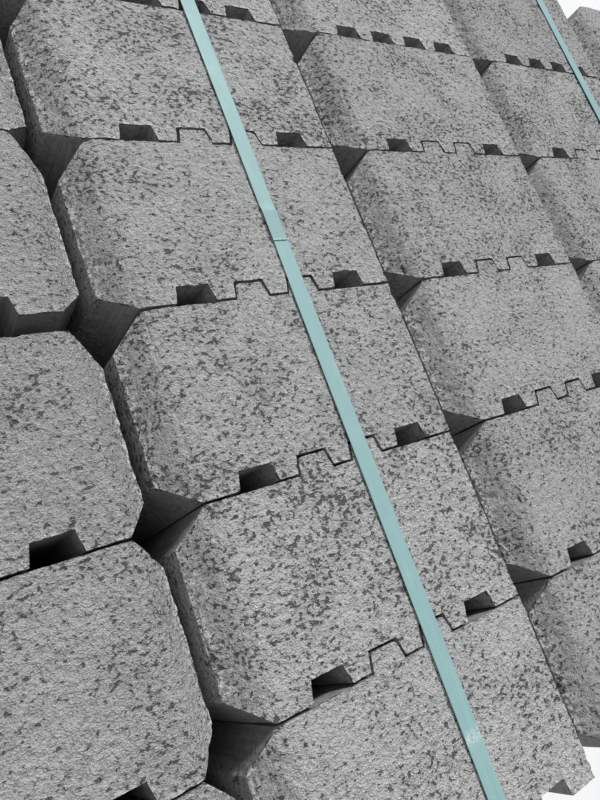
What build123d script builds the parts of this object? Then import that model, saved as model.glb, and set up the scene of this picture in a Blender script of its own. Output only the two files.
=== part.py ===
from build123d import *
from math import atan2, degrees
import os

# A strapped pallet load of cast concrete wall blocks, in millimetres.
# X runs along the pallet, Y across it and Z up. The origin is on the floor, under the pallet's middle.
# Every block lies on its side: its bevelled face looks along X, its notches look to -Y and its tongues to +Y.

# The cast block
block_depth = 224.0
block_height = 124.0
block_width = 250.0

# The bevel round its face, measured on the face and back along the block
bevel_on_face = 19.5
bevel_run = 19.0

# The notches across its lower bed, counted from the face
notch_mouth = 27.4
notch_roof = 21.6
notch_depth = 12.0
notch_count = 4
first_notch = 58.0
notch_pitch = 42.4

# The tongues across its upper bed, each in line with a notch of the block that lies on it
tongued_notches = (1, 2)
tongue_side_gap = 0.6
tongue_end_gap = 1.2
tongue_edge = 1.6

# The stack: rows run along the pallet, and the first rows are capping blocks, without tongues
layer_count = 3
row_count = 6
capping_rows = 2
row_joint = 1.0

# The first column faces the others across a narrow gap; each of its rows lies so far towards -Y of theirs
facing_gap = 7.0
facing_slips = (-3.5, -3.5, -3.5, 7.0, 7.0, 7.0)
column_gaps = (20.5, 17.0, 34.0)

# The pallet, a little longer and wider than the load at each side
end_margin = 0.75
side_margin = 25.5
corner_cut = 12.0
board_thickness = 22.0
spacer_height = 78.0
cross_board_width = 145.0
side_runner_width = 100.0
middle_runner_width = 145.0
runner_edge = 10.0
deck_board_widths = (145.0, 100.0, 145.0, 100.0, 145.0)

# The straps, each a welded loop round the load and the deck, so far behind the faces of their columns
strap_width = 13.0
strap_thickness = 0.8
strap_columns = (0, 2)
strap_setbacks = (138.25, 176.75)
weld_place = 53.0
weld_length = 24.0

# Levels of the pallet and the load
spacer_bottom = board_thickness
cross_board_bottom = spacer_bottom + spacer_height
deck_bottom = cross_board_bottom + board_thickness
load_bottom = deck_bottom + board_thickness
load_top = load_bottom + layer_count * block_width

# Outline of the load and of the pallet under it
row_pitch = block_height + row_joint
load_width = row_count * row_pitch - row_joint
load_length = (len(column_gaps) + 2) * block_depth + facing_gap + sum(column_gaps)
pallet_length = load_length + 2 * end_margin
pallet_width = load_width + 2 * side_margin

# Where the faces of the columns lie: the first looks to +X, all others to -X
turned_face = -load_length / 2 + block_depth
column_faces = [turned_face + facing_gap]
for gap in column_gaps:
    column_faces.append(column_faces[-1] + block_depth + gap)

os.makedirs("parts", exist_ok=True)


def keep(piece, name):
    piece.part.label = name
    export_step(piece.part, f"parts/{name}.step")


# The block's side outline, extruded over its width
notch_slant = (notch_mouth - notch_roof) / 2 / notch_depth
flank_angle = degrees(atan2(1, notch_slant))
tongue_rise = notch_depth + row_joint - tongue_end_gap
tongue_foot = notch_mouth + 2 * (notch_slant * row_joint - tongue_side_gap)
notch_places = [first_notch + index * notch_pitch for index in range(notch_count)]
tongue_places = [notch_places[index] for index in tongued_notches]


def cast_block(tongues):
    with BuildPart() as block:
        with BuildSketch() as side:
            Rectangle(block_depth, block_height, align=Align.MIN)
            with Locations(*[(place, 0) for place in notch_places]):
                Trapezoid(
                    notch_mouth,
                    notch_depth,
                    flank_angle,
                    align=(Align.CENTER, Align.MIN),
                    mode=Mode.SUBTRACT,
                )
            if tongues:
                with Locations(*[(place, block_height) for place in tongue_places]):
                    Trapezoid(
                        tongue_foot,
                        tongue_rise,
                        flank_angle,
                        align=(Align.CENTER, Align.MIN),
                    )
                chamfer(side.vertices().group_by(Axis.Y)[-1], length=tongue_edge)
        extrude(amount=block_width)
        face = block.faces().sort_by(Axis.X)[0]
        chamfer(face.edges(), length=bevel_on_face, length2=bevel_run, reference=face)
    return block.part


wall_block = cast_block(tongues=True)
capping_block = cast_block(tongues=False)


# One row of one layer: the first column is turned to face the others
def row_of_blocks(block, row_front, facing_slip, layer_bottom):
    turned = Location(
        (turned_face, row_front - facing_slip, layer_bottom + block_width),
        (0, 180, 0),
    )
    others = [Location((face, row_front, layer_bottom)) for face in column_faces]
    with BuildPart() as row:
        with Locations(turned, *others):
            add(block)
    return row


for layer in range(layer_count):
    for row_number in range(row_count):
        kind = capping_block if row_number < capping_rows else wall_block
        front = load_width / 2 - block_height - row_number * row_pitch
        blocks = row_of_blocks(
            kind, front, facing_slips[row_number], load_bottom + layer * block_width
        )
        keep(blocks, f"layer_{layer + 1}_row_{row_number + 1}")


# The pallet's outline, with its four corners cut
with BuildSketch() as pallet_outline:
    Rectangle(pallet_length, pallet_width)
    chamfer(pallet_outline.vertices(), length=corner_cut)


def board(length, width, centre, bottom, thickness, top_edge=0):
    with BuildPart() as piece:
        with BuildSketch(Plane.XY.offset(bottom)):
            with Locations(centre):
                Rectangle(length, width)
            add(pallet_outline.sketch, mode=Mode.INTERSECT)
        extrude(amount=thickness)
        if top_edge:
            top = piece.faces().sort_by(Axis.Z)[-1]
            chamfer(top.edges().filter_by(Axis.X), length=top_edge)
    return piece


# Deck boards run along the pallet, evenly spaced across it
deck_gap = (pallet_width - sum(deck_board_widths)) / (len(deck_board_widths) - 1)
board_side = -pallet_width / 2
for number, width in enumerate(deck_board_widths, 1):
    deck_board = board(
        pallet_length, width, (0, board_side + width / 2), deck_bottom, board_thickness
    )
    keep(deck_board, f"deck_board_{number}")
    board_side += width + deck_gap

# Three cross boards under the deck, each on three spacers, which stand on the runners
cross_board_places = [
    side * (pallet_length - cross_board_width) / 2 for side in (-1, 0, 1)
]
runner_widths = (side_runner_width, middle_runner_width, side_runner_width)
runner_places = [side * (pallet_width - side_runner_width) / 2 for side in (-1, 0, 1)]

for number, place in enumerate(cross_board_places, 1):
    cross_board = board(
        cross_board_width, pallet_width, (place, 0), cross_board_bottom, board_thickness
    )
    keep(cross_board, f"stringer_board_{number}")

spacer_number = 0
for runner_place, runner_width in zip(runner_places, runner_widths):
    for place in cross_board_places:
        spacer_number += 1
        spacer = board(
            cross_board_width,
            runner_width,
            (place, runner_place),
            spacer_bottom,
            spacer_height,
        )
        keep(spacer, f"spacer_block_{spacer_number}")

for number, (place, width) in enumerate(zip(runner_places, runner_widths), 1):
    runner = board(
        pallet_length, width, (0, place), 0, board_thickness, top_edge=runner_edge
    )
    keep(runner, f"bottom_board_{number}")


# What a strap pulls tight round: the load and the deck under it
with BuildSketch() as wrapped:
    with Locations((0, (load_bottom + load_top) / 2)):
        Rectangle(load_width, load_top - load_bottom)
    with Locations((0, (deck_bottom + load_bottom) / 2)):
        Rectangle(pallet_width, board_thickness)
    make_hull()

for number, (column, setback) in enumerate(zip(strap_columns, strap_setbacks), 1):
    place = column_faces[column] + setback
    with BuildPart() as strap:
        with BuildSketch(Plane.YZ.offset(place)):
            add(wrapped.sketch)
            offset(amount=strap_thickness)
            add(wrapped.sketch, mode=Mode.SUBTRACT)
        extrude(amount=strap_width / 2, both=True)
        with BuildSketch(Plane.XY.offset(load_top + strap_thickness)):
            with Locations((place, weld_place)):
                Rectangle(strap_width, weld_length)
        extrude(amount=strap_thickness)
    keep(strap, f"strap_{number}")
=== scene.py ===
import itertools
import math
from types import SimpleNamespace

import bmesh
import bpy
import numpy as np
from mathutils import Matrix, Vector
from mathutils.geometry import delaunay_2d_cdt


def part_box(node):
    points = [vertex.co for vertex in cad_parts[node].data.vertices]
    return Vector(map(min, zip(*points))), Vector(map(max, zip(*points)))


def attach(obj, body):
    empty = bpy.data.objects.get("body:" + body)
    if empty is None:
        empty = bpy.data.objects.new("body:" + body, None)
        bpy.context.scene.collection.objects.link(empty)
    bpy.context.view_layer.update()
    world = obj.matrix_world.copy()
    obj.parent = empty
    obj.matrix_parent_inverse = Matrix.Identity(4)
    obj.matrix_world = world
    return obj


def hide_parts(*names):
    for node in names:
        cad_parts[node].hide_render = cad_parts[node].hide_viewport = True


# A strapped pallet load of cast concrete wall blocks.
# Lengths are millimetres in this script, and metres in the meshes and materials.

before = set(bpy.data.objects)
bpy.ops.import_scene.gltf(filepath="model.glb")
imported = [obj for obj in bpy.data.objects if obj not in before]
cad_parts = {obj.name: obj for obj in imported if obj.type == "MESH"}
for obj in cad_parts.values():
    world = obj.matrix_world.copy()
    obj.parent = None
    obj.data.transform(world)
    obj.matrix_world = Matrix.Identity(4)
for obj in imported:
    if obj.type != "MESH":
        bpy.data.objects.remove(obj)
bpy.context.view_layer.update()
MM = 0.001

# How far apart the points of a surface lie: on top of the load, on its sides and where nothing shows
coarser = 1.0
top_grid = 2.35 * coarser
side_grid = 7.5 * coarser
hidden_grid = 70.0
board_grid = 20.0

# How fast they spread below the top of the load, or below the upper bevel of a face
grid_growth = 0.4
bevel_height = 19.0

# How far they stray and how near to the rim they may lie, as shares of their distance
grid_stray = 0.22
rim_margin = 0.6

# How far an edge's points swell outwards while a face is filled, as a share of the edge
edge_swell = 0.003

# Pits and wear fade out where the points lie farther apart than this
pitted_grid = 5.0 * coarser
pitted_fade = 2.0
worn_grid = 9.0 * coarser
worn_fade = 4.0

# What counts as one place, as flat, as the same way and as level with something
same_place = 1e-6
flat_angle = 0.6
same_way = 0.05
level_tolerance = 1.0

# Faces are told apart by how much they look along an axis, from 0 to 1
straight_on = 0.99
steep = 0.95
mostly = 0.5
upright_to = 0.3

# A front is at least so much lower than its block, by its bevels
front_inset = 10.0

# Seeds of the random draws, and how far apart in the noise one block and one board lie from the next
block_seed = 1000
board_seed = 500
board_tone_seed = 700
nail_seed = 77
block_shift = np.array([913.0, 377.0, 0.0])
board_shift = 613.0

# Dry-cast concrete: depth and size of its grain, lumps and swells, and how rough its other faces are
grain_depth = 0.26
grain_size = 3.6
lump_depth = 0.34
lump_size = 7.0
swell_depth = 0.15
swell_size = 30.0
wall_roughness = 0.15
face_roughness = 0.35
drawn_size = 3.0
drawn_stretch = (1, 1, 0.1)

# Its long pits: their least size and its range as shares, their bends, and how often a cell has one
pit_cell = 7.0
pit_half_length = 3.0
pit_half_width = 1.6
pit_depth = 1.2
least_pit = 0.45
pit_range = 0.85
pit_bend = 1.5
pit_bend_size = 3.5
crowd_size = 38.0
pit_chance = 0.45
pit_chance_swing = 0.8
pit_chance_limits = (0.05, 0.9)

# Its round chips, and how much of them shows so near to an edge
chip_cell = 12.0
chip_radius = 3.0
least_chip = 0.3
chip_share = 0.8
chip_reach = 4.0

# Its worn edges: the depth and reach of the wear, and how ragged it is in crumbs and longer bites
rim_wear = 0.15
rim_reach = 1.5
seam_wear = 0.2
front_wear = 0.45
outline_reach = 5.0
lip_wear = 0.4
lip_reach = 3.0
crease_reach = 8.0
crease_radius = 18.0
ragged_mean = 0.45
crumb_share = 0.5
crumb_size = 3.4
bite_share = 0.35
bite_size = 9.0
most_ragged = 1.3

# The pale burr, painted near white as a painted highlight where the lips and the shaded fronts would catch
# the light: beside the lips, on the fronts and on other rims
burr_highlight_width = 4.5
front_burr_highlight = 0.8
front_burr_highlight_width = 6.0
rim_burr_highlight = 0.35
front_grain = 0.9

# How blocks differ: the slack of their notches, how low and how tilted they lie, their tone and their pits
most_slack = 0.5
least_drop = 0.1
most_top_drop = 0.6
most_turned_drop = 1.0
most_tilt = 0.004
tones = (-0.6, 1)
turned_tones = (-1.8, -0.8)
pit_openness = (0, 1)
turned_openness = (-0.7, 0)

# The boards: their edges, and how deep and how wide their unevenness and wear are
board_chamfer = 1.3
saw_depth = 0.12
saw_size = 16.0
warp_depth = 0.25
warp_size = 70.0
board_wear = 0.35
board_wear_size = 25.0

# The strap: its ribs, its sawn edge, how it is divided and how it is welded
strap_ribs = 8
rib_height = 0.06
edge_depth = 0.16
inner_clearance = 0.02
inner_edge = 0.97
strap_step = 2.0
strap_long_step = 10.0
serration = 0.14
strap_bend = 2.6
bend_pieces = 6
ribbon_angle = 30.0
weld_ramp = 7.0
weld_shift = 0.35
weld_reach = 45.0
weld_scuff = 0.9

# Where each strap is scuffed, along Y, and how far that reaches
strap_scuffs = {"strap_1": (-309.0, 3.5), "strap_2": (-60.0, 4.0)}

# The nails: rings of the head as a share of its radius and a height, from its foot up to its crown
nail_radius = 4.2
nail_sides = 18
nail_foot = -1.2
nail_crown = 0.45
nail_rings = ((1, nail_foot), (1, 0.05), (0.93, 0.32), (0.5, 0.42))
nail_sink = 0.55
nail_from_edge = 26.0
nail_spread = 42.0
nail_wander = 5.0

# Three nails to a crossing: their places across the board and along it, as shares
nail_pattern = ((-1, -1), (0, 1), (1, -0.6))


def named(start):
    """The CAD nodes whose names start so, in order."""
    return sorted(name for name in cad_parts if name.startswith(start))


# The deck's top, and the load's sides: how near to these a face counts as an outer one
deck_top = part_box("deck_board_1")[1].z / MM
block_nodes = named("layer_")
block_boxes = np.array([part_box(name) for name in block_nodes]) / MM
load_low = block_boxes.min(axis=(0, 1))
load_high = block_boxes.max(axis=(0, 1))
side_tolerance = 25.0


# Noise

# A turn that keeps the noise's cells out of line with the faces
TILT = np.array(Matrix.Rotation(0.7, 3, Vector((0.5, 0.3, 0.8)).normalized()))

# A random number is looked up by a whole number that is mixed from a cell's place and a seed
PRIMES = np.array((73856093, 19349663, 83492791))
SEED_STEP = 7919
SEED_START = 17
DRAW_STEP = 9173
RANDOM_TABLE = np.random.default_rng(2024).random(65536)
TABLE_MASK = len(RANDOM_TABLE) - 1


def cell_hash(cells, seed):
    """One whole number for each cell (N x 2 or N x 3)."""
    whole = cells.astype(np.int64)
    mixed = np.full(len(whole), seed * SEED_STEP + SEED_START)
    for column, prime in zip(whole.T, PRIMES):
        mixed ^= column * prime
    return mixed


def drawn_number(hashed, seed):
    """A number from 0 to 1 for each hash, another for each seed."""
    return RANDOM_TABLE[(hashed + seed * DRAW_STEP) & TABLE_MASK]


def noise(points, size, seed):
    """Smooth noise from -1 to 1, with bumps about as wide as size."""
    scaled = points @ TILT / size
    corner = np.floor(scaled)
    part = scaled - corner
    blend = (part * part * (3 - 2 * part)).T
    shares = np.array([1 - blend, blend])
    whole = corner.T.astype(np.int64)
    cells = np.array([whole, whole + 1]) * PRIMES[:, None]
    total = np.zeros(len(points))
    for dx, dy, dz in itertools.product((0, 1), repeat=3):
        weight = shares[dx, 0] * shares[dy, 1] * shares[dz, 2]
        mixed = cells[dx, 0] ^ cells[dy, 1] ^ cells[dz, 2]
        total += weight * RANDOM_TABLE[(mixed ^ (seed * SEED_STEP)) & TABLE_MASK]
    return total * 2 - 1


def scattered(points, cell, seed):
    """One scattered place for each cell near the points: their offsets from it, and the cell's hash."""
    axes = points.shape[1]
    home = np.floor(points / cell)
    for step in itertools.product((-1, 0, 1), repeat=axes):
        near = home + step
        hashed = cell_hash(near, seed)
        place = np.column_stack([drawn_number(hashed, axis + 1) for axis in range(axes)])
        yield points - (near + place) * cell, hashed


def pits(flat, chance, seed):
    """How deep, from 0 to 1, points of a face (N x 2) lie in scattered long pits."""
    deepest = np.zeros(len(flat))
    for offset, hashed in scattered(flat, pit_cell, seed):
        angle = drawn_number(hashed, 3) * math.pi
        size = least_pit + pit_range * drawn_number(hashed, 4) ** 2
        along = offset[:, 0] * np.cos(angle) + offset[:, 1] * np.sin(angle)
        across = offset[:, 1] * np.cos(angle) - offset[:, 0] * np.sin(angle)
        reach = (along / (pit_half_length * size)) ** 2 + (across / (pit_half_width * size)) ** 2
        chosen = drawn_number(hashed, 5) < chance
        depth = np.where(chosen, np.clip(1 - reach, 0, 1) ** 0.5, 0) * np.minimum(size, 1)
        deepest = np.maximum(deepest, depth)
    return deepest


def chips(points, seed):
    """How deep, in millimetres, points (N x 3) lie in scattered round bites."""
    deepest = np.zeros(len(points))
    for offset, hashed in scattered(points, chip_cell, seed):
        radius = chip_radius * (least_chip + (1 - least_chip) * drawn_number(hashed, 4) ** 2)
        deepest = np.maximum(deepest, radius - np.linalg.norm(offset, axis=1))
    return deepest


# Flat-faced solids and fine meshes over them

def islands(shape):
    """The vertices of each separate solid, in the order of their numbers."""
    left = set(shape.verts)
    found = []
    while left:
        start = min(left, key=lambda vertex: vertex.index)
        island = {start}
        front = {start}
        while front:
            front = {edge.other_vert(vertex) for vertex in front for edge in vertex.link_edges} - island
            island |= front
        left -= island
        found.append(sorted(island, key=lambda vertex: vertex.index))
    return found


def flat_solids(node, chamfer=0):
    """Each solid of a CAD node as its corners (in mm), its faces as loops of corners, and their normals."""
    shape = bmesh.new()
    shape.from_mesh(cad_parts[node].data)
    bmesh.ops.remove_doubles(shape, verts=shape.verts, dist=same_place)
    bmesh.ops.dissolve_limit(
        shape, angle_limit=math.radians(flat_angle), verts=shape.verts, edges=shape.edges
    )
    if chamfer:
        bmesh.ops.bevel(
            shape, geom=list(shape.edges), offset=chamfer * MM, segments=1, profile=0.5, affect="EDGES"
        )
    shape.verts.index_update()
    shape.normal_update()
    solids = []
    for island in islands(shape):
        number = {vertex: place for place, vertex in enumerate(island)}
        corners = np.array([vertex.co for vertex in island], float) / MM
        linked = {face for vertex in island for face in vertex.link_faces}
        faces = sorted(linked, key=lambda face: face.index)
        loops = [[number[vertex] for vertex in face.verts] for face in faces]
        normals = np.array([face.normal for face in faces], float)
        solids.append((corners, loops, normals))
    shape.free()
    solids.sort(key=lambda solid: tuple(solid[0].min(axis=0).round(2)))
    return solids


def segment_distance(points, start, end):
    """Distance of points from a straight segment."""
    run = end - start
    share = np.clip((points - start) @ run / (run @ run), 0, 1)
    return np.linalg.norm(points - start - share[:, None] * run, axis=1)


def outline_distance(points, outline):
    """Distance of points from a closed outline."""
    nearest = np.full(len(points), np.inf)
    for start, end in zip(outline, np.roll(outline, -1, axis=0)):
        nearest = np.minimum(nearest, segment_distance(points, start, end))
    return nearest


def inside_outline(points, outline):
    """Which flat points lie inside a closed outline."""
    inside = np.zeros(len(points), bool)
    for start, end in zip(outline, np.roll(outline, -1, axis=0)):
        straddles = (start[1] > points[:, 1]) != (end[1] > points[:, 1])
        if start[1] == end[1]:
            continue
        crossing = start[0] + (points[:, 1] - start[1]) / (end[1] - start[1]) * (end[0] - start[0])
        inside ^= straddles & (points[:, 0] < crossing)
    return inside


def divide(start, end, spacing):
    """Points between two corners, as far apart as spacing says."""
    length = np.linalg.norm(end - start)
    share = np.linspace(0, 1, max(3, int(length) + 1))
    steps = 1 / spacing(start + share[:, None] * (end - start))
    count = np.concatenate([[0], np.cumsum((steps[1:] + steps[:-1]) / 2 * np.diff(share) * length)])
    pieces = max(1, round(count[-1]))
    places = np.interp(np.arange(1, pieces) / pieces * count[-1], count, share)
    return start + places[:, None] * (end - start)


def scatter(outline, spacing, random):
    """Loosely regular points inside a flat outline, as far apart as spacing says."""
    low = outline.min(axis=0)
    high = outline.max(axis=0)
    kept = []
    pitch = top_grid
    while pitch < hidden_grid * 2:
        across = np.arange(low[0], high[0], pitch)
        along = np.arange(low[1], high[1], pitch * math.sqrt(0.75))
        grid = np.stack(np.meshgrid(across, along), axis=-1)
        grid[1::2, :, 0] += pitch / 2
        stray = random.uniform(-grid_stray, grid_stray, (grid.size // 2, 2))
        points = grid.reshape(-1, 2) + stray * pitch
        wanted = spacing(points)
        points = points[(wanted >= pitch) & (wanted < pitch * 2)]
        if len(points):
            points = points[inside_outline(points, outline)]
            points = points[outline_distance(points, outline) > rim_margin * pitch]
            kept.append(points)
        pitch *= 2
    return np.concatenate(kept) if kept else np.zeros((0, 2))


class Cover:
    """A closed fine mesh over a flat-faced solid, which knows the faces that each point lies on."""

    def __init__(self, solid, spacing, seed):
        self.corners, self.loops, self.normals = solid
        self.random = np.random.default_rng(seed)
        self.spacing = spacing
        self.owners = [set() for corner in self.corners]
        self.points = list(self.corners)
        self.triangles = []
        self.edges = {}
        self.soft = set()
        self.tags = {}
        self.face_points = []
        for number, loop in enumerate(self.loops):
            for corner in loop:
                self.owners[corner].add(number)
        self.divide_edges()
        for number in range(len(self.loops)):
            self.fill(number)
        self.points = np.array(self.points)
        self.triangles = np.concatenate(self.triangles)
        self.spaced = np.full(len(self.points), np.inf)
        for number, ids in enumerate(self.face_points):
            wanted = self.spacing(self.points[ids], self.normals[number])
            self.spaced[ids] = np.minimum(self.spaced[ids], wanted)

    def divide_edges(self):
        sides = {}
        for number, loop in enumerate(self.loops):
            for start, end in zip(loop, loop[1:] + loop[:1]):
                sides.setdefault((min(start, end), max(start, end)), []).append(number)
        for (start, end), faces in sides.items():

            def finest(points, faces=faces):
                return np.min([self.spacing(points, self.normals[face]) for face in faces], axis=0)

            between = divide(self.corners[start], self.corners[end], finest)
            first = len(self.points)
            self.points.extend(between)
            self.owners.extend(set(faces) for point in between)
            self.edges[(start, end)] = list(range(first, first + len(between)))
        self.sides = sides

    def rim(self, loop, flat_corners):
        """The points round a face and their flat places, which swell so that no three are in line."""
        ring = []
        places = []
        for index, start in enumerate(loop):
            end = loop[(index + 1) % len(loop)]
            between = self.edges[(min(start, end), max(start, end))]
            ring += [start] + (between if start < end else between[::-1])
            run = flat_corners[(index + 1) % len(loop)] - flat_corners[index]
            outward = np.array([run[1], -run[0]])
            length = np.linalg.norm(run)
            origin = self.points[start]
            for point in ring[len(places):]:
                share = np.linalg.norm(self.points[point] - origin) / length
                swell = 4 * share * (1 - share) * edge_swell
                places.append(flat_corners[index] + share * run + swell * outward)
        return ring, np.array(places)

    def fill(self, number):
        normal = self.normals[number]
        loop = self.loops[number]
        origin = self.corners[loop[0]]
        across = self.corners[loop[1]] - origin
        across /= np.linalg.norm(across)
        basis = np.stack([across, np.cross(normal, across)])
        outline = (self.corners[loop] - origin) @ basis.T
        ring, flat_ring = self.rim(loop, outline)

        def spacing(flat):
            return self.spacing(origin + flat @ basis, normal)

        inner = scatter(outline, spacing, self.random)
        first = len(self.points)
        self.points.extend(origin + inner @ basis)
        self.owners.extend({number} for point in inner)
        ids = np.array(ring + list(range(first, first + len(inner))))
        flat = np.concatenate([flat_ring, inner])
        # Triangles inside the rim, and for each of their points the number that it was given
        made = delaunay_2d_cdt(
            [Vector(point) for point in flat], [], [list(range(len(ring)))], 1, same_place, True
        )
        source = np.array([origins[0] for origins in made[3]])
        triangles = source[np.array(made[2])]
        doubtful = (triangles < len(ring)).all(axis=1)
        kept = ~doubtful
        kept[doubtful] = inside_outline(flat[triangles[doubtful]].mean(axis=1), flat_ring)
        self.triangles.append(ids[triangles[kept]])
        self.face_points.append(ids)

    def sharp_pairs(self):
        """Neighbouring points along every edge that isn't soft."""
        chains = []
        for (start, end), between in self.edges.items():
            if (start, end) not in self.soft:
                chain = [start] + between + [end]
                chains.append(np.column_stack([chain[:-1], chain[1:]]))
        return np.concatenate(chains)

    def sink(self, depth_of):
        """Moves each point inwards by depth_of(point numbers, face number), along each face it lies on."""
        depths = np.zeros((len(self.points), len(self.loops)))
        for number, ids in enumerate(self.face_points):
            depths[ids, number] = depth_of(ids, number)
        groups = {}
        for point, faces in enumerate(self.owners):
            groups.setdefault(tuple(sorted(faces)), []).append(point)
        moved = self.points.copy()
        for faces, members in groups.items():
            inverse = np.linalg.pinv(self.normals[list(faces)], rcond=same_way)
            moved[members] -= depths[np.ix_(members, list(faces))] @ inverse.T
        self.points = moved


def mark_sharp(mesh, pairs):
    """Marks the edges between the given pairs of points (N x 2) as sharp."""
    ends = np.zeros(2 * len(mesh.edges), np.int32)
    mesh.edges.foreach_get("vertices", ends)
    count = len(mesh.vertices)
    ends = np.sort(ends.reshape(-1, 2).astype(np.int64), axis=1) @ (count, 1)
    wanted = np.sort(pairs, axis=1) @ (count, 1)
    sharp = mesh.attributes.new("sharp_edge", "BOOLEAN", "EDGE")
    sharp.data.foreach_set("value", np.isin(ends, wanted))


def add_object(name, data):
    """A new object in the scene."""
    made = bpy.data.objects.new(name, data)
    bpy.context.scene.collection.objects.link(made)
    return made


def add_mesh(name, covers, material, sharp_angle=None):
    """One object of several covers, whose tags tell the material about each point."""
    mesh = bpy.data.meshes.new(name)
    points = np.concatenate([cover.points for cover in covers]) * MM
    first = np.cumsum([0] + [len(cover.points) for cover in covers])
    triangles = np.concatenate([cover.triangles + start for cover, start in zip(covers, first)])
    mesh.from_pydata(points.tolist(), [], triangles.tolist())
    for title in covers[0].tags:
        attribute = mesh.attributes.new(title, "FLOAT", "POINT")
        values = np.concatenate([cover.tags[title] for cover in covers])
        attribute.data.foreach_set("value", values.astype(np.float32))
    mesh.shade_smooth()
    if sharp_angle:
        mesh.set_sharp_from_angle(angle=math.radians(sharp_angle))
    else:
        pairs = [cover.sharp_pairs() + start for cover, start in zip(covers, first)]
        mark_sharp(mesh, np.concatenate(pairs))
    mesh.materials.append(material)
    mesh.update()
    return add_object(name, mesh)


# Node materials

class Shader:
    """A material whose nodes are added by short calls. Lengths in it are metres."""

    def __init__(self, name):
        self.material = bpy.data.materials.new(name)
        self.material.use_nodes = True
        self.tree = self.material.node_tree
        self.tree.nodes.clear()
        self.surface = self.node("ShaderNodeBsdfPrincipled")
        output = self.node("ShaderNodeOutputMaterial")
        self.tree.links.new(self.surface.outputs["BSDF"], output.inputs["Surface"])
        self.place = self.node("ShaderNodeTexCoord").outputs["Object"]

    def node(self, kind, **settings):
        made = self.tree.nodes.new(kind)
        for title, value in settings.items():
            setattr(made, title, value)
        return made

    def feed(self, node, inputs):
        """Links the sockets of a node, or sets their values, by name or number. Returns the node."""
        for title, value in inputs.items():
            if isinstance(value, bpy.types.NodeSocket):
                self.tree.links.new(value, node.inputs[title])
            else:
                node.inputs[title].default_value = value
        return node

    def attribute(self, title):
        return self.node("ShaderNodeAttribute", attribute_name=title).outputs["Fac"]

    def math(self, operation, *values):
        made = self.node("ShaderNodeMath", operation=operation)
        return self.feed(made, dict(enumerate(values))).outputs[0]

    def stretched(self, stretch):
        made = self.node("ShaderNodeMapping")
        return self.feed(made, {"Vector": self.place, "Scale": stretch}).outputs[0]

    def noise(self, size, detail=3.0, roughness=0.55, distortion=0.0, place=None):
        inputs = {"Vector": place or self.place, "Scale": 1 / size, "Detail": detail}
        inputs.update({"Roughness": roughness, "Distortion": distortion})
        return self.feed(self.node("ShaderNodeTexNoise"), inputs).outputs["Fac"]

    def ramp(self, value, low, high, start=0.0, end=1.0):
        inputs = {"Value": value, "From Min": low, "From Max": high, "To Min": start, "To Max": end}
        return self.feed(self.node("ShaderNodeMapRange"), inputs).outputs["Result"]

    def mix(self, share, first, second, blend="MIX"):
        made = self.node("ShaderNodeMix", data_type="RGBA", blend_type=blend)
        return self.feed(made, {0: share, 6: first, 7: second}).outputs[2]

    def bump(self, height, distance):
        inputs = {"Strength": 1.0, "Distance": distance, "Height": height}
        return self.feed(self.node("ShaderNodeBump"), inputs).outputs[0]

    def finish(self, color, roughness, normal):
        self.feed(self.surface, {"Base Color": color, "Roughness": roughness, "Normal": normal})
        return self.material


# The concrete's fine relief: sizes in metres, heights in millimetres, pits where the noise is high
relief_size = 0.0034
relief_height = 6.5
sand_size = 0.0010
sand_height = 2.5
small_pit_size = 0.0028
small_pit_from = 0.590
large_pit_size = 0.0043
large_pit_from = 0.624
pit_slope = 0.065
pit_stretch = (0.75, 1.0, 1.0)
hollow_height = 6.5
lip_height = 4.0
streak_size = 0.0020
streak_stretch = (1.0, 1.0, 0.035)
streak_height = 0.2
patch_size = 0.04
dappled_shade_size = 0.25

# How much more open the pits are in crowded patches and in some blocks
crowd_openness = (-0.045, 0.035)
block_openness = 0.03

# How much of the relief a drawn smooth face has
smooth_relief = 0.12

# Its colours, and how far they cover what lies under them. The shaded streaks, dappled shade, hollow shade
# and pit shadow are painted shade, and the burr's colour is a painted highlight
dark_sand = (0.42, 0.419, 0.416, 1)
pale_sand = (0.68, 0.678, 0.672, 1)
dark_shaded_streak = (0.155, 0.155, 0.160, 1)
pale_shaded_streak = (0.245, 0.245, 0.250, 1)
streak_cover = 0.9
dappled_shade_color = (0.24, 0.238, 0.235, 1)
dappled_shade_cover = 0.16
burr_highlight_color = (0.92, 0.915, 0.90, 1)
burr_highlight_cover = 0.9
hollow_shade_color = (0.16, 0.16, 0.16, 1)
hollow_shade_cover = 0.15
pit_shadow_color = (0.09, 0.09, 0.092, 1)
pit_shadow_darkness = 0.9


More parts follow.
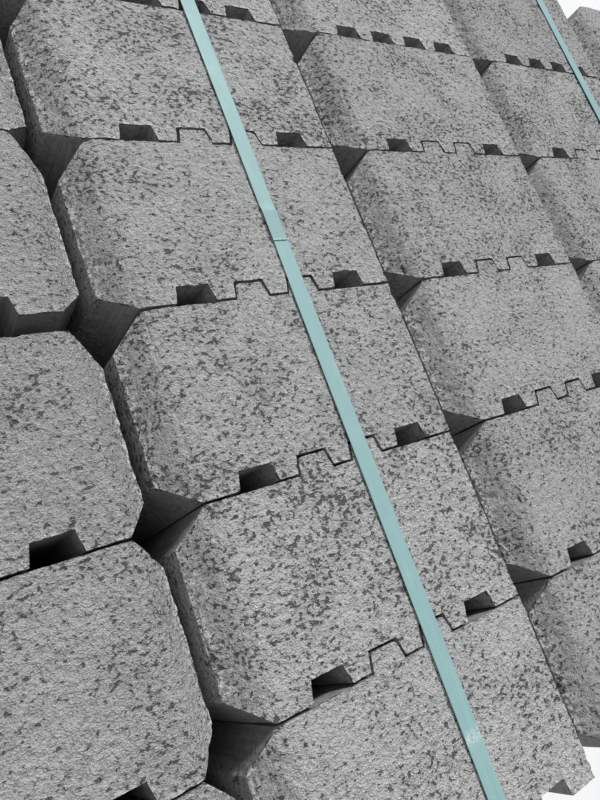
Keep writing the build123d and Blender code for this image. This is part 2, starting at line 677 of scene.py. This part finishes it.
def concrete_material():
    """Coarse grey concrete, granular where it was cast and smoothly streaked where the mould drew off, with
    painted shade in its low relief, smooth faces, soft patches and pits, and a painted highlight on its
    burr.
    """
    shader = Shader("dry_cast_concrete")
    shader.feed(shader.surface, {"Specular IOR Level": 0.25})
    granular = shader.attribute("granular")
    drawn = shader.math("SUBTRACT", 1.0, granular)
    sand = shader.noise(sand_size, detail=2.0, roughness=0.6)
    relief = shader.noise(relief_size, detail=4.0, roughness=0.62)
    patches = shader.noise(patch_size, detail=4.0)
    dappled_shade = shader.noise(dappled_shade_size)
    streaks = shader.noise(streak_size, place=shader.stretched(streak_stretch))

    # Ragged open pits between the grains, longer along the row, crowded in some places
    crowd = shader.ramp(patches, 0.35, 0.65, *crowd_openness)
    openness = shader.math("MULTIPLY_ADD", shader.attribute("open"), block_openness, crowd)
    place = shader.stretched(pit_stretch)
    small = shader.noise(small_pit_size, distortion=0.2, place=place)
    large = shader.noise(large_pit_size, detail=4.0, roughness=0.6, distortion=0.2, place=place)
    small = shader.ramp(shader.math("ADD", small, openness), small_pit_from, small_pit_from + pit_slope)
    large = shader.ramp(shader.math("ADD", large, openness), large_pit_from, large_pit_from + pit_slope)
    sunk = shader.math("MAXIMUM", small, large)
    # Painted shadow: the deep part of each pit is painted near black, as the shadow cast inside it.
    pit_shadow = shader.math("MULTIPLY", shader.ramp(sunk, 0.4, 0.8), granular)

    # The colour: sand and patches with the low relief as painted shade, then the smooth faces darkened as
    # painted shade, patches of painted dappled shade and tone, and last the burr as a painted highlight and
    # the pits as painted shadow
    color = shader.mix(shader.ramp(sand, 0.3, 0.7), dark_sand, pale_sand)
    # Painted shade: the low places of the relief are painted darker, as shade in their recesses.
    color = shader.mix(1.0, color, shader.ramp(relief, 0.38, 0.56, 0.84, 1.05), "MULTIPLY")
    color = shader.mix(1.0, color, shader.ramp(patches, 0.3, 0.7, 1.06, 0.92), "MULTIPLY")
    # Painted shade: the smooth drawn faces are painted far darker than the cast ones, as the shade in the
    # gaps and notches where they show; their streaks are their own.
    smooth = shader.mix(shader.ramp(streaks, 0.3, 0.7), dark_shaded_streak, pale_shaded_streak)
    color = shader.mix(shader.math("MULTIPLY", drawn, streak_cover), color, smooth)
    # Painted shade: large soft darker patches stand in for dappled shade.
    color = shader.mix(shader.ramp(dappled_shade, 0.3, 0.7, 0.0, dappled_shade_cover), color, dappled_shade_color)
    tone = shader.ramp(shader.attribute("tone"), -2.0, 1.0, 0.81, 1.08)
    color = shader.mix(1.0, color, tone, "MULTIPLY")
    # Painted highlight: the burr is painted near white, as light caught by the crumbly lips and by the
    # shaded fronts below them; the pale crumbs are partly real.
    burr_highlight = shader.math("MULTIPLY", shader.attribute("edge"), shader.ramp(relief, 0.38, 0.52))
    color = shader.mix(shader.math("MULTIPLY", burr_highlight, burr_highlight_cover), color, burr_highlight_color)
    # Painted shade: the pits sunk in the mesh are painted darker, as shade in these hollows.
    hollow = shader.math("MULTIPLY", shader.attribute("pit"), hollow_shade_cover)
    color = shader.mix(hollow, color, hollow_shade_color)
    color = shader.mix(shader.math("MULTIPLY", pit_shadow, pit_shadow_darkness), color, pit_shadow_color)

    # The relief: grain, sand, sunk pits and a raised crumbly burr, with faint streaks on smooth faces
    rough = shader.ramp(sand, 0.3, 0.7, 0.84, 0.97)
    height = shader.math("MULTIPLY_ADD", relief, relief_height, shader.math("MULTIPLY", sand, sand_height))
    height = shader.math("MULTIPLY_ADD", sunk, -hollow_height, height)
    height = shader.math("MULTIPLY_ADD", burr_highlight, lip_height, height)
    height = shader.math("MULTIPLY", height, shader.ramp(granular, 0.0, 1.0, smooth_relief, 1.0))
    lines = shader.math("MULTIPLY", shader.math("MULTIPLY", streaks, drawn), streak_height)
    return shader.finish(color, rough, shader.bump(shader.math("ADD", height, lines), MM))


# Pine: sizes in metres, and its colours
fibre_size = 0.0016
saw_mark_size = 0.004
dirt_size = 0.11
ring_scale = 26.0
ring_distortion = 9.0
grain_stretch = 0.07
saw_mark_stretch = 0.08
early_wood = (0.60, 0.44, 0.27, 1)
late_wood = (0.43, 0.29, 0.165, 1)
fibre_color = (0.62, 0.49, 0.33, 1)
dirt_color = (0.33, 0.285, 0.235, 1)
worn_wood = (0.26, 0.21, 0.16, 1)
wood_relief = 0.0008


def wood_material(name, along):
    """Rough-sawn pine whose grain runs along the given axis."""
    shader = Shader(name)
    shader.feed(shader.surface, {"Specular IOR Level": 0.3})
    stretch = [grain_stretch if axis == along else 1.0 for axis in range(3)]
    cross = [1.0 if axis == along else saw_mark_stretch for axis in range(3)]
    place = shader.stretched(stretch)
    rings = shader.node("ShaderNodeTexWave", wave_type="RINGS", rings_direction="XYZ"[along])
    shader.feed(rings, {"Vector": place, "Scale": ring_scale, "Distortion": ring_distortion})
    shader.feed(rings, {"Detail": 2.0, "Detail Scale": 0.6})
    fibre = shader.noise(fibre_size, detail=4.0, roughness=0.65, place=place)
    saw_marks = shader.noise(saw_mark_size, detail=2.0, place=shader.stretched(cross))
    dirt = shader.noise(dirt_size, detail=5.0, roughness=0.6)
    color = shader.mix(shader.ramp(rings.outputs["Fac"], 0.2, 0.9), early_wood, late_wood)
    color = shader.mix(shader.ramp(fibre, 0.35, 0.7, 0.0, 0.6), color, fibre_color)
    color = shader.mix(shader.ramp(dirt, 0.42, 0.75, 0.0, 0.6), color, dirt_color)
    tone = shader.ramp(shader.attribute("tone"), -1.0, 1.0, 0.82, 1.12)
    color = shader.mix(1.0, color, tone, "MULTIPLY")
    color = shader.mix(shader.math("MULTIPLY", shader.attribute("edge"), 0.35), color, worn_wood)
    height = shader.math("MULTIPLY_ADD", fibre, 0.6, shader.math("MULTIPLY", saw_marks, 0.5))
    rough = shader.ramp(fibre, 0.3, 0.7, 0.72, 0.9)
    return shader.finish(color, rough, shader.bump(height, wood_relief))


# Polyester strapping: sizes in metres, and its colours
rib_size = 0.0009
rib_stretch = (1.0, 0.02, 0.02)
dust_size = 0.02
scratch_size = 0.0012
dark_strap = (0.228, 0.378, 0.384, 1)
pale_strap = (0.264, 0.415, 0.420, 1)
dust_color = (0.34, 0.47, 0.465, 1)
weld_color = (0.21, 0.315, 0.325, 1)
scuff_color = (0.66, 0.72, 0.70, 1)
strap_relief = 0.00018


def strap_material():
    """Blue-green ribbed plastic, dusty, darker at the weld and pale where it is scuffed."""
    shader = Shader("strap_polyester")
    shader.feed(shader.surface, {"Specular IOR Level": 0.3})
    ribs = shader.noise(rib_size, detail=1.0, place=shader.stretched(rib_stretch))
    dust = shader.noise(dust_size, detail=5.0, roughness=0.7)
    scratches = shader.noise(scratch_size)
    color = shader.mix(shader.ramp(ribs, 0.3, 0.7), dark_strap, pale_strap)
    color = shader.mix(shader.ramp(dust, 0.5, 0.8, 0.0, 0.35), color, dust_color)
    color = shader.mix(shader.math("MULTIPLY", shader.attribute("weld"), 0.5), color, weld_color)
    scratched = shader.ramp(scratches, 0.42, 0.62, 0.0, 0.7)
    scuff = shader.math("MULTIPLY", shader.attribute("scuff"), scratched)
    color = shader.mix(scuff, color, scuff_color)
    rough = shader.ramp(dust, 0.3, 0.8, 0.5, 0.65)
    height = shader.math("MULTIPLY_ADD", ribs, 0.7, shader.math("MULTIPLY", scratches, 0.25))
    return shader.finish(color, rough, shader.bump(height, strap_relief))


# Nails and floor: sizes in metres, and their colours
rust_size = 0.002
steel_color = (0.36, 0.35, 0.34, 1)
rust_color = (0.22, 0.11, 0.06, 1)
rust_relief = 0.0003
floor_patch_size = 0.9
floor_color = (0.74, 0.74, 0.735, 1)
pale_floor_color = (0.78, 0.78, 0.775, 1)
floor_relief = 0.0002


def nail_material():
    """Steel, rusty in spots."""
    shader = Shader("nail_steel")
    shader.feed(shader.surface, {"Metallic": 0.85})
    rust = shader.noise(rust_size, detail=4.0)
    color = shader.mix(shader.ramp(rust, 0.4, 0.65), steel_color, rust_color)
    rough = shader.ramp(rust, 0.3, 0.7, 0.35, 0.8)
    return shader.finish(color, rough, shader.bump(rust, rust_relief))


def floor_material():
    shader = Shader("pale_floor")
    patches = shader.noise(floor_patch_size)
    color = shader.mix(patches, floor_color, pale_floor_color)
    return shader.finish(color, 0.9, shader.bump(patches, floor_relief))


# The concrete blocks

def outer_side(points, normal):
    """Which points of a face lie on an outer side of the load."""
    outer = np.zeros(len(points), bool)
    if abs(normal[2]) <= upright_to:
        for axis in (0, 1):
            outer |= points[:, axis] < load_low[axis] + side_tolerance
            outer |= points[:, axis] > load_high[axis] - side_tolerance
    return outer


def block_spacing(top_layer):
    """How far apart the points of a block lie, which depends on how much of it shows."""
    def spacing(points, normal):
        wide = np.where(outer_side(points, normal), side_grid, hidden_grid)
        if not top_layer:
            return wide
        if normal[2] > mostly:
            return np.full(len(points), top_grid)
        below = load_high[2] - points[:, 2]
        if abs(normal[0]) > mostly:
            below = below - bevel_height
        return np.minimum(wide, top_grid + grid_growth * np.maximum(below, 0))

    return spacing


def flat_of(points, normal):
    """Two coordinates of points on a face, without the axis that it looks along most."""
    return np.delete(points, int(np.argmax(np.abs(normal))), axis=1)


def bell(distance, reach):
    """1 at no distance, falling to 0 within about twice the reach."""
    return np.exp(-((distance / reach) ** 2))


def is_cast(normal):
    """Whether a face is one of the coarse ones on top and below, or a bevel beside them."""
    return abs(normal[2]) > mostly


def is_front(cover, face):
    """Whether a face is the coarse front of the block, between its bevels."""
    heights = cover.corners[cover.loops[face]][:, 2]
    lower = np.ptp(heights) < np.ptp(cover.corners[:, 2]) - front_inset
    return abs(cover.normals[face][0]) > straight_on and lower


def is_crease(cover, faces):
    """Whether an edge is the soft one between a cast face and the bevel beside it."""
    slopes = sorted(abs(cover.normals[face][2]) for face in faces)
    return slopes[-1] > straight_on and mostly < slopes[0] < steep


def rim_distance(cover, ids, face, edges):
    """Distance of points of a face from the nearest of the edges that bound it."""
    nearest = np.full(len(ids), np.inf)
    for edge in edges:
        if face in cover.sides[edge]:
            start, end = cover.corners[list(edge)]
            nearest = np.minimum(nearest, segment_distance(cover.points[ids], start, end))
    return nearest


def ragged_wear(around):
    """How ragged the wear is at each point, the same all the way down an upright edge."""
    upright = around * (1, 1, 0)
    crumbs = crumb_share * noise(upright, crumb_size, 21)
    bites = bite_share * noise(upright, bite_size, 22)
    return np.clip(ragged_mean + crumbs + bites, 0, most_ragged)


def wear_block(cover, number, drop, tilt, slack):
    """Roughens, pits and wears one block, and returns what its material needs to know of each point."""
    points = cover.points
    centre = cover.corners.mean(axis=0)
    finest = np.clip((pitted_grid - cover.spaced) / pitted_fade, 0, 1)
    fine = np.clip((worn_grid - cover.spaced) / worn_fade, 0, 1)

    # Each block lies elsewhere in the noise, and each noise has its own seed
    around = points + number * block_shift
    grain = 1 + noise(around, grain_size, 1)
    lumps = 1 + noise(around, lump_size, 2)
    swell = 1 + noise(around, swell_size, 3)
    crowd = np.clip(pit_chance + pit_chance_swing * noise(around, crowd_size, 4), *pit_chance_limits)
    bends = np.column_stack([noise(around, pit_bend_size, seed) for seed in (5, 6, 7)])
    bent = around + pit_bend * bends
    drawn = 1 + noise(around * drawn_stretch, drawn_size, 11)
    ragged = ragged_wear(around)
    bitten = chips(around, 31)

    # Rims are the hard edges of the cast faces, and lips the rims that a front shares with them
    cover.soft = {edge for edge, faces in cover.sides.items() if is_crease(cover, faces)}
    hard = set(cover.sides) - cover.soft
    rims = {edge for edge in hard if any(is_cast(cover.normals[face]) for face in cover.sides[edge])}
    lips = {edge for edge in rims if any(is_front(cover, face) for face in cover.sides[edge])}
    tags = {title: np.zeros(len(points)) for title in ("pit", "granular", "edge")}

    def depth_of(ids, face):
        normal = cover.normals[face]
        depth = np.zeros(len(ids))
        if fine[ids].max() <= 0:
            return depth
        front = is_front(cover, face)
        rim = rim_distance(cover, ids, face, rims)
        lip = rim_distance(cover, ids, face, lips)
        if is_cast(normal):
            depth += grain_depth * grain[ids] + lump_depth * lumps[ids]
            depth += rim_wear * (1 + ragged[ids]) * bell(rim, rim_reach)
            hollow = pits(flat_of(bent[ids], normal), crowd[ids], 41) * finest[ids]
            depth += pit_depth * hollow
            tags["pit"][ids] = np.maximum(tags["pit"][ids], hollow)
            tags["granular"][ids] = 1.0
            near = np.clip(crease_reach - rim_distance(cover, ids, face, cover.soft), 0, None)
            depth += near ** 2 / (2 * crease_radius)
            if normal[2] > mostly:
                depth += np.maximum(drop + (points[ids] - centre)[:, :2] @ tilt, 0)
            depth += lip_wear * ragged[ids] * bell(lip, lip_reach)
        else:
            worn = front_wear if front else seam_wear
            if steep < abs(normal[0]) < straight_on:
                depth += slack[int(normal[0] > 0)]
            depth += worn * ragged[ids] * bell(rim, outline_reach)
            if front:
                depth += face_roughness * (grain[ids] + lumps[ids])
                tags["granular"][ids] = np.maximum(tags["granular"][ids], front_grain)
            else:
                depth += wall_roughness * drawn[ids]
        depth += swell_depth * swell[ids] + chip_share * bitten[ids] * (rim < chip_reach)
        # The burr mask, which the material paints near white as a painted highlight and raises in its
        # relief.
        burr_highlight = front_burr_highlight * np.exp(-rim / front_burr_highlight_width) if front else bell(lip, burr_highlight_width)
        burr_highlight = np.maximum(burr_highlight, rim_burr_highlight * bell(rim, rim_reach))
        tags["edge"][ids] = np.maximum(tags["edge"][ids], burr_highlight * fine[ids])
        return depth * fine[ids]

    cover.sink(depth_of)
    return tags


def add_blocks(node, material):
    """The five blocks of one row of one layer."""
    low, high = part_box(node)
    top_layer = high[2] / MM > load_high[2] - level_tolerance
    covers = []
    for solid in flat_solids(node):
        number = len(covers) + 10 * block_nodes.index(node)
        cover = Cover(solid, block_spacing(top_layer), number)
        random = np.random.default_rng(block_seed + number)
        turned = solid[0][:, 0].min() < load_low[0] + level_tolerance
        drop = random.uniform(least_drop, 1.0) * (most_turned_drop if turned else most_top_drop)
        tilt = random.uniform(-most_tilt, most_tilt, 2)
        slack = random.uniform(0, most_slack, 2)
        tone = random.uniform(*(turned_tones if turned else tones))
        openness = random.uniform(*(turned_openness if turned else pit_openness))
        cover.tags = wear_block(cover, number, drop, tilt, slack)
        cover.tags["tone"] = np.full(len(cover.points), tone)
        cover.tags["open"] = np.full(len(cover.points), openness)
        covers.append(cover)
    piece = add_mesh(f"blocks_{node}", covers, material)
    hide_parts(node)
    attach(piece, "root")


# The pallet

def add_board(node, material, number):
    """One board or spacer, rough-sawn, a little uneven, with worn edges."""
    def spacing(points, normal):
        return np.full(len(points), board_grid)

    covers = []
    tone = np.random.default_rng(board_tone_seed + number).uniform(-1, 1)
    for solid in flat_solids(node, board_chamfer):
        cover = Cover(solid, spacing, board_seed + number)
        around = cover.points + number * board_shift
        sawn = saw_depth * (1 + noise(around, saw_size, 51))
        warped = warp_depth * (1 + noise(around, warp_size, 52))
        worn = board_wear * (1 + noise(around, board_wear_size, 53))
        slanted = np.zeros(len(cover.points))
        for face, ids in enumerate(cover.face_points):
            if np.abs(cover.normals[face]).max() < steep:
                slanted[ids] = 1.0
        sunk = sawn + warped + worn * slanted

        def depth_of(ids, face, sunk=sunk):
            return sunk[ids]

        cover.sink(depth_of)
        cover.tags = {"edge": slanted, "tone": np.full(len(cover.points), tone)}
        covers.append(cover)
    piece = add_mesh(f"wood_{node}", covers, material)
    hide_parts(node)
    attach(piece, "root")


# The straps

def straight_run(start, end, step):
    """Points from start up to but not with end, evenly spaced."""
    pieces = max(1, round(np.linalg.norm(end - start) / step))
    return start + np.arange(pieces)[:, None] / pieces * (end - start)


def rounded_path(corners, radius, step):
    """An open flat path with rounded corners, whose straight runs are divided as step(start, end) says."""
    parts = []
    arrival = corners[0]
    for before, here, after in zip(corners, corners[1:], corners[2:]):
        back = (before - here) / np.linalg.norm(before - here)
        ahead = (after - here) / np.linalg.norm(after - here)
        half = math.acos(back @ ahead) / 2
        start = here + back * radius / math.tan(half)
        end = here + ahead * radius / math.tan(half)
        middle = here + (back + ahead) / np.linalg.norm(back + ahead) * radius / math.sin(half)
        parts.append(straight_run(arrival, start, step(arrival, start)))
        shares = np.arange(bend_pieces)[:, None] / bend_pieces
        spokes = (start - middle) * (1 - shares) + (end - middle) * shares
        parts.append(middle + spokes / np.linalg.norm(spokes, axis=1)[:, None] * radius)
        arrival = end
    parts.append(straight_run(arrival, corners[-1], step(arrival, corners[-1])))
    parts.append(corners[-1:])
    return np.concatenate(parts)


def tube_triangles(count, around):
    """Triangles of a closed tube of count rings, with around points in each."""
    here = np.arange(count - 1)[:, None] * around + np.arange(around)
    beside = np.arange(count - 1)[:, None] * around + (np.arange(around) + 1) % around
    quads = np.stack([here, here + around, beside + around, beside], axis=-1).reshape(-1, 4)
    fan = np.arange(1, around - 1)
    first_cap = np.column_stack([np.zeros_like(fan), fan, fan + 1])
    last_cap = np.column_stack([np.zeros_like(fan), fan + 1, fan]) + (count - 1) * around
    return np.concatenate([quads[:, [0, 1, 2]], quads[:, [0, 2, 3]], first_cap, last_cap])


def add_strap(node, material):
    """One strap: a ribbed band round the load and the deck, whose ends are welded over each other on top."""
    corners = np.array([vertex.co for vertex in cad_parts[node].data.vertices]) / MM
    low = corners.min(axis=0)
    high = corners.max(axis=0)
    thickness = (high[2] - load_high[2]) / 2
    top = load_high[2] + thickness
    weld = corners[corners[:, 2] > high[2] - thickness / 2]
    weld_low = weld[:, 1].min()
    weld_high = weld[:, 1].max()
    side = corners[np.abs(corners[:, 2] - top) < thickness / 2, 1].max()
    down = [(weld_high, top), (-side, top), (low[1], deck_top), (low[1], low[2])]
    back_up = [(high[1], low[2]), (high[1], deck_top), (side, top), (weld_low, top)]
    turns = np.array(down + back_up)

    def step(start, end):
        return strap_step if min(start[1], end[1]) > top - level_tolerance else strap_long_step

    path = rounded_path(turns, strap_bend, step)
    count = len(path)
    travel = np.gradient(path, axis=0)
    travel /= np.linalg.norm(travel, axis=1)[:, None]
    outward = np.column_stack([travel[:, 1], -travel[:, 0]])
    on_top = path[:, 1] > top - level_tolerance

    # The second end climbs onto the first, and lies a little to one side of it
    second = (np.arange(count) > count / 2) & on_top
    climb = np.clip((weld_high + weld_ramp - path[:, 0]) / weld_ramp, 0, 1) * second
    lift = thickness * climb * climb * (3 - 2 * climb)
    near_weld = bell(path[:, 0] - (weld_low + weld_high) / 2, weld_reach) * on_top
    half = (high[0] - low[0]) / 2 - weld_shift * near_weld
    centre = (low[0] + high[0]) / 2 + np.where(second, -1, 1) * weld_shift * near_weld

    # Across the band: the outer face with its ribs, then the inner face
    outer = 2 * strap_ribs + 1
    across = np.concatenate([np.linspace(-1, 1, outer), (inner_edge, 0, -inner_edge)])
    around = len(across)
    depth = rib_height * ((np.arange(around) + 1) % 2)
    depth[[0, outer - 1]] = edge_depth
    depth[outer:] = thickness - inner_clearance
    tooth = serration * (np.arange(count) % 2)
    reach = np.where(across > inner_edge, half[:, None] - tooth[:, None], half[:, None])
    x = centre[:, None] + across * reach
    sunk = depth - lift[:, None]
    y = path[:, :1] - outward[:, :1] * sunk
    z = path[:, 1:] - outward[:, 1:] * sunk
    points = np.stack([x, y, z], axis=-1).reshape(-1, 3)

    bonded = ((path[:, 0] < weld_high) & second).astype(float)
    scuff_place, scuff_reach = strap_scuffs[node]
    scuffed = bell(path[:, 0] - scuff_place, scuff_reach) * on_top
    scuffed = np.maximum(scuffed, bell(path[:, 0] - weld_low, weld_scuff) * second)
    tags = {"weld": np.repeat(bonded, around), "scuff": np.repeat(scuffed, around)}
    band = SimpleNamespace(points=points, triangles=tube_triangles(count, around), tags=tags)
    piece = add_mesh(f"band_{node}", [band], material, ribbon_angle)
    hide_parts(node)
    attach(piece, "root")


# The nails

def add_nails(name, places, up):
    """Flat nail heads (places in mm), let into the wood. Up is 1 on the deck, -1 on the underside."""
    head = [(0, 0, nail_crown)]
    for share, height in nail_rings:
        for turn in np.arange(nail_sides) / nail_sides * 2 * math.pi:
            radius = nail_radius * share
            head.append((math.cos(turn) * radius, math.sin(turn) * radius, height))
    head.append((0, 0, nail_foot))
    head = (np.array(head) - (0, 0, nail_sink)) * (1, up, up)
    foot = len(head) - 1
    last = foot - nail_sides
    triangles = []
    for side in range(nail_sides):
        after = (side + 1) % nail_sides
        for ring in range(1, last, nail_sides):
            above = ring + nail_sides
            triangles.append((ring + side, ring + after, above + after))
            triangles.append((ring + side, above + after, above + side))
        triangles.append((0, last + side, last + after))
        triangles.append((foot, 1 + after, 1 + side))
    triangles = np.array(triangles)
    heads = [SimpleNamespace(points=head + place, triangles=triangles, tags={}) for place in places]
    piece = add_mesh(name, heads, nail_material(), ribbon_angle)
    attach(piece, "root")


def nail_places(boards, cross_pieces, level, random):
    """Three nails where each board crosses each cross piece. The names of both start as given."""
    places = []
    for board in named(boards):
        low, high = np.array(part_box(board)) / MM
        for cross in named(cross_pieces):
            cross_low, cross_high = np.array(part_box(cross)) / MM
            if cross_high[1] < low[1] or cross_low[1] > high[1]:
                continue
            middle = (cross_low[0] + cross_high[0]) / 2
            centre = (low[1] + high[1]) / 2
            half = (high[1] - low[1]) / 2 - nail_from_edge
            for across, along in nail_pattern:
                wander = random.uniform(-nail_wander, nail_wander, 2)
                x = middle + along * nail_spread + wander[0]
                y = centre + across * half + wander[1]
                places.append((x, y, level))
    return places


# Studio, lights and camera

def add_floor():
    half = 30.0
    corners = [(-half, -half, 0), (half, -half, 0), (half, half, 0), (-half, half, 0)]
    mesh = bpy.data.meshes.new("studio_floor")
    mesh.from_pydata(corners, [], [(0, 1, 2, 3)])
    mesh.materials.append(floor_material())
    floor = add_object("studio_floor", mesh)


def add_sun(name, toward, strength, spread):
    """A soft distant light that shines from the given direction, spread over so many degrees."""
    lamp = bpy.data.lights.new(name, "SUN")
    lamp.energy = strength
    lamp.angle = math.radians(spread)
    light = add_object(name, lamp)
    light.rotation_mode = "QUATERNION"
    light.rotation_quaternion = Vector(toward).to_track_quat("Z", "Y")


def add_world(color, strength):
    world = bpy.data.worlds.new("studio")
    world.use_nodes = True
    background = world.node_tree.nodes["Background"]
    background.inputs["Color"].default_value = color
    background.inputs["Strength"].default_value = strength
    bpy.context.scene.world = world


def add_camera():
    """The photograph's viewpoint, worked out from the repeated blocks in it."""
    lens_in_pixels = 669.4
    image_height = 800
    place = Vector((-508.05, -168.35, 1247.41)) * MM
    right = Vector((0.81054, -0.34228, 0.47526))
    up = Vector((0.17726, 0.91676, 0.35794))
    back = right.cross(up).normalized()
    up = back.cross(right)
    data = bpy.data.cameras.new("photo_camera")
    data.sensor_fit = "VERTICAL"
    data.sensor_height = 36.0
    data.lens = data.sensor_height * lens_in_pixels / image_height
    data.clip_start = 0.01
    data.clip_end = 100.0
    camera = add_object("photo_camera", data)
    camera.matrix_world = Matrix.Translation(place) @ Matrix((right, up, back)).transposed().to_4x4()
    bpy.context.scene.camera = camera


# The load on its pallet, and the studio round it

concrete = concrete_material()
for node in block_nodes:
    add_blocks(node, concrete)

pine_along = wood_material("pine_along_x", 0)
pine_across = wood_material("pine_along_y", 1)
for number, node in enumerate(named(("bottom", "deck", "spacer", "stringer"))):
    add_board(node, pine_across if node.startswith("stringer") else pine_along, number)

strap_plastic = strap_material()
for node in strap_scuffs:
    add_strap(node, strap_plastic)

nail_random = np.random.default_rng(nail_seed)
add_nails("nails_deck", nail_places("deck", "stringer", deck_top, nail_random), 1)
add_nails("nails_underside", nail_places("bottom", "spacer", 0.0, nail_random), -1)

add_floor()
add_sun("key_light", toward=(0.33, 0.62, 0.71), strength=3.6, spread=12.0)
add_sun("fill_light", toward=(-0.6, -0.1, 0.8), strength=0.55, spread=60.0)
add_world(color=(0.93, 0.965, 1.0, 1.0), strength=0.30)
add_camera()
bpy.context.scene.view_settings.view_transform = "Standard"
